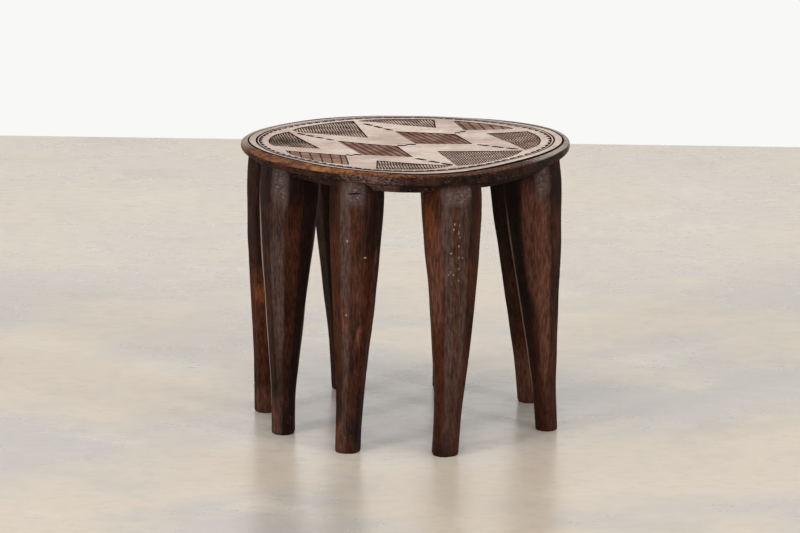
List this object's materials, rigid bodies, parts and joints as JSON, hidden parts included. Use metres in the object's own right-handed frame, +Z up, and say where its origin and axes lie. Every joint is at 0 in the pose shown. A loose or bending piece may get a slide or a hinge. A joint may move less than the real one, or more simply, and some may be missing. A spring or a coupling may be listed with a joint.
{
  "type": "stool",
  "caption": "Low round carved wooden stool: a dished seat with a relief-cut geometric top, standing on tapered hewn legs tenoned in a ring under the rim.",
  "frame": {"origin": "on the floor under the middle of the seat, at the centre of the bounding box's base", "axes": "+Z up, +X to the stool's right as pictured, +Y to its back"},
  "size_m": [0.421, 0.4198, 0.3693],
  "materials": {
    "seat_wood": "satin, worn carved top over a dark oiled rim",
    "leg_wood": "satin, dark oiled and hewn"
  },
  "bodies": {
    "root": {"seat": "seat_wood", "leg_front_left": "leg_wood", "leg_front_right": "leg_wood", "leg_right_front": "leg_wood", "leg_right_rear": "leg_wood", "leg_rear_right": "leg_wood", "leg_rear_left": "leg_wood", "leg_left_rear": "leg_wood", "leg_left_front": "leg_wood"}
  },
  "joints": []
}
